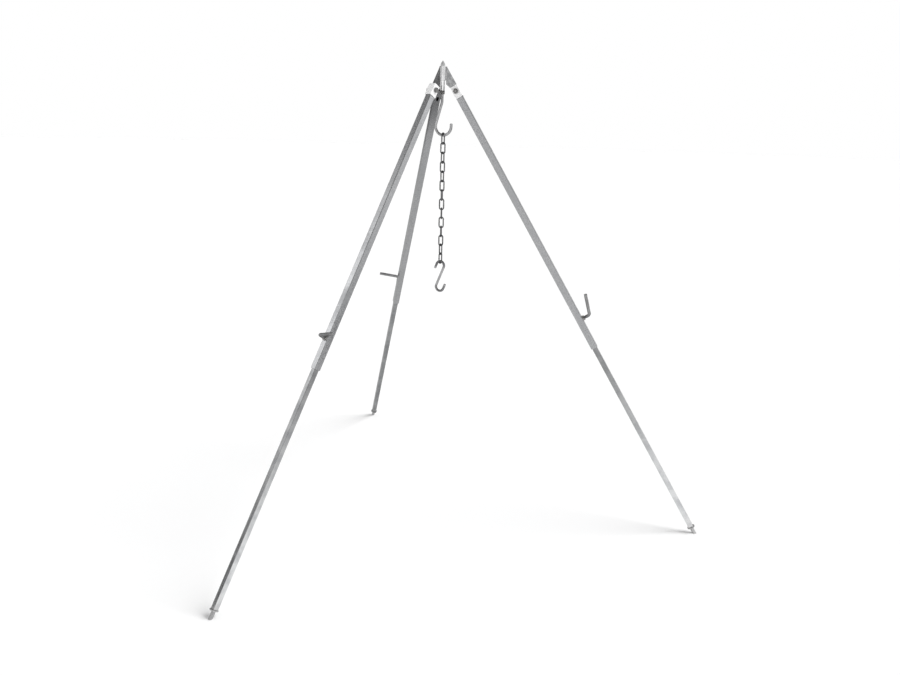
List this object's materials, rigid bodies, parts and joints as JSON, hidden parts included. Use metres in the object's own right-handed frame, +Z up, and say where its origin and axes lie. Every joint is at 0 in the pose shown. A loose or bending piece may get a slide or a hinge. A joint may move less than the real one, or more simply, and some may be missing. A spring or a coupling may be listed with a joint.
{
  "type": "cooking tripod",
  "caption": "Telescopic steel camp tripod with hinged legs, clamp screws, a swivelling hook, and a link chain with an S-hook for a pot over a fire.",
  "frame": {"origin": "centre of the footprint box, on the ground", "axes": "+Z up. +Y points from the two front feet towards the back foot, +X from the left foot to the right foot as the picture shows them."},
  "size_m": [1.8646, 1.6168, 1.7686],
  "materials": {
    "galvanised": "galvanised",
    "zinc": "zinc plated",
    "weldment": "galvanised after welding",
    "fastener": "zinc plated"
  },
  "bodies": {
    "head": {"hub_tube": "weldment", "hub_sleeve": "zinc", "arm_plate_left": "weldment", "arm_weld_left": "weldment", "pivot_bracket_left": "zinc", "pivot_bolt_left": "fastener", "pivot_nut_left": "fastener", "arm_plate_right": "weldment", "arm_weld_right": "weldment", "pivot_bracket_right": "zinc", "pivot_bolt_right": "fastener", "pivot_nut_right": "fastener", "arm_plate_back": "weldment", "arm_weld_back": "weldment", "pivot_bracket_back": "zinc", "pivot_bolt_back": "fastener", "pivot_nut_back": "fastener"},
    "leg_left": {"upper_tube_left": "galvanised", "clamp_nut_left": "fastener"},
    "lower_left": {"lower_tube_left": "zinc", "foot_flange_left": "zinc", "foot_stub_left": "zinc"},
    "clamp_left": {"clamp_screw_left": "zinc"},
    "leg_right": {"upper_tube_right": "galvanised", "clamp_nut_right": "fastener"},
    "lower_right": {"lower_tube_right": "zinc", "foot_flange_right": "zinc", "foot_stub_right": "zinc"},
    "clamp_right": {"clamp_screw_right": "zinc"},
    "leg_back": {"upper_tube_back": "galvanised", "clamp_nut_back": "fastener"},
    "lower_back": {"lower_tube_back": "zinc", "foot_flange_back": "zinc", "foot_stub_back": "zinc"},
    "clamp_back": {"clamp_screw_back": "zinc"},
    "hook": {"hanging_hook": "zinc", "cap_nut": "fastener", "swivel_washer": "fastener", "swivel_nut": "fastener"},
    "link_01": {"chain_link_01": "zinc"},
    "link_02": {"chain_link_02": "zinc"},
    "link_03": {"chain_link_03": "zinc"},
    "link_04": {"chain_link_04": "zinc"},
    "link_05": {"chain_link_05": "zinc"},
    "link_06": {"chain_link_06": "zinc"},
    "link_07": {"chain_link_07": "zinc"},
    "link_08": {"chain_link_08": "zinc"},
    "link_09": {"chain_link_09": "zinc"},
    "link_10": {"chain_link_10": "zinc"},
    "link_11": {"chain_link_11": "zinc"},
    "link_12": {"chain_link_12": "zinc"},
    "link_13": {"chain_link_13": "zinc"},
    "link_14": {"chain_link_14": "zinc"},
    "pot_hook": {"s_hook": "zinc"}
  },
  "joints": [
    {"name": "fold_left", "type": "hinge", "parent": "head", "child": "leg_left", "pos_m": [-0.04555, -0.29359, 1.66378], "axis": [0.5, -0.866, 0], "range_deg": [0, 27]},
    {"name": "slide_left", "type": "slide", "parent": "leg_left", "child": "lower_left", "axis": [0.451, 0.2604, 0.8537], "range_m": [-0.06, 0.8]},
    {"name": "clamp_left", "type": "hinge", "parent": "leg_left", "child": "clamp_left", "pos_m": [-0.48522, -0.54743, 0.83151], "axis": [-0.7393, -0.4269, 0.5208], "range_deg": [0, 360]},
    {"name": "fold_right", "type": "hinge", "parent": "head", "child": "leg_right", "pos_m": [0.04555, -0.29359, 1.66378], "axis": [0.5, 0.866, 0], "range_deg": [0, 27]},
    {"name": "slide_right", "type": "slide", "parent": "leg_right", "child": "lower_right", "axis": [-0.451, 0.2604, 0.8537], "range_m": [-0.06, 0.8]},
    {"name": "clamp_right", "type": "hinge", "parent": "leg_right", "child": "clamp_right", "pos_m": [0.4798, -0.5443, 0.84176], "axis": [0.7393, -0.4269, 0.5208], "range_deg": [0, 360]},
    {"name": "fold_back", "type": "hinge", "parent": "head", "child": "leg_back", "pos_m": [0, -0.21469, 1.66378], "axis": [-1, 0, 0], "range_deg": [0, 27]},
    {"name": "slide_back", "type": "slide", "parent": "leg_back", "child": "lower_back", "axis": [0, -0.5208, 0.8537], "range_m": [-0.06, 0.8]},
    {"name": "clamp_back", "type": "hinge", "parent": "leg_back", "child": "clamp_back", "pos_m": [0, 0.28674, 0.84176], "axis": [0, 0.8537, 0.5208], "range_deg": [0, 360]},
    {"name": "hook_swivel", "type": "hinge", "parent": "head", "child": "hook", "pos_m": [0, -0.26729, 1.7515], "axis": [0, 0, 1], "continuous": true},
    {"name": "link_01_swing", "type": "hinge", "parent": "hook", "child": "link_01", "pos_m": [0.00534, -0.2727, 1.508], "axis": [0.7022, -0.712, 0], "range_deg": [-20, 20]},
    {"name": "link_02_swing", "type": "hinge", "parent": "link_01", "child": "link_02", "pos_m": [0.00534, -0.2727, 1.4761], "axis": [0.809, 0.5878, 0], "range_deg": [-12, 12]},
    {"name": "link_03_swing", "type": "hinge", "parent": "link_02", "child": "link_03", "pos_m": [0.00534, -0.2727, 1.4417], "axis": [0.788, -0.6157, 0], "range_deg": [-12, 12]},
    {"name": "link_04_swing", "type": "hinge", "parent": "link_03", "child": "link_04", "pos_m": [0.00534, -0.2727, 1.4073], "axis": [0.8192, 0.5736, 0], "range_deg": [-12, 12]},
    {"name": "link_05_swing", "type": "hinge", "parent": "link_04", "child": "link_05", "pos_m": [0.00534, -0.2727, 1.3729], "axis": [0.7771, -0.6293, 0], "range_deg": [-12, 12]},
    {"name": "link_06_swing", "type": "hinge", "parent": "link_05", "child": "link_06", "pos_m": [0.00534, -0.2727, 1.3385], "axis": [0.829, 0.5592, 0], "range_deg": [-12, 12]},
    {"name": "link_07_swing", "type": "hinge", "parent": "link_06", "child": "link_07", "pos_m": [0.00534, -0.2727, 1.3041], "axis": [0.7431, -0.6691, 0], "range_deg": [-12, 12]},
    {"name": "link_08_swing", "type": "hinge", "parent": "link_07", "child": "link_08", "pos_m": [0.00534, -0.2727, 1.2697], "axis": [0.5358, 0.8443, 0], "range_deg": [-12, 12]},
    {"name": "link_09_swing", "type": "hinge", "parent": "link_08", "child": "link_09", "pos_m": [0.00534, -0.2727, 1.2353], "axis": [0.8957, -0.4446, 0], "range_deg": [-12, 12]},
    {"name": "link_10_swing", "type": "hinge", "parent": "link_09", "child": "link_10", "pos_m": [0.00534, -0.2727, 1.2009], "axis": [0.4131, 0.9107, 0], "range_deg": [-12, 12]},
    {"name": "link_11_swing", "type": "hinge", "parent": "link_10", "child": "link_11", "pos_m": [0.00534, -0.2727, 1.1665], "axis": [0.9373, -0.3486, 0], "range_deg": [-12, 12]},
    {"name": "link_12_swing", "type": "hinge", "parent": "link_11", "child": "link_12", "pos_m": [0.00534, -0.2727, 1.1321], "axis": [0.1805, 0.9836, 0], "range_deg": [-12, 12]},
    {"name": "link_13_swing", "type": "hinge", "parent": "link_12", "child": "link_13", "pos_m": [0.00534, -0.2727, 1.0977], "axis": [0.9952, 0.0976, 0], "range_deg": [-12, 12]},
    {"name": "link_14_swing", "type": "hinge", "parent": "link_13", "child": "link_14", "pos_m": [0.00534, -0.2727, 1.0633], "axis": [-0.2588, 0.9659, 0], "range_deg": [-12, 12]},
    {"name": "pot_hook_swing", "type": "hinge", "parent": "link_14", "child": "pot_hook", "pos_m": [0.00534, -0.2727, 1.0289], "axis": [0.848, 0.5299, 0], "range_deg": [-18, 18]}
  ]
}
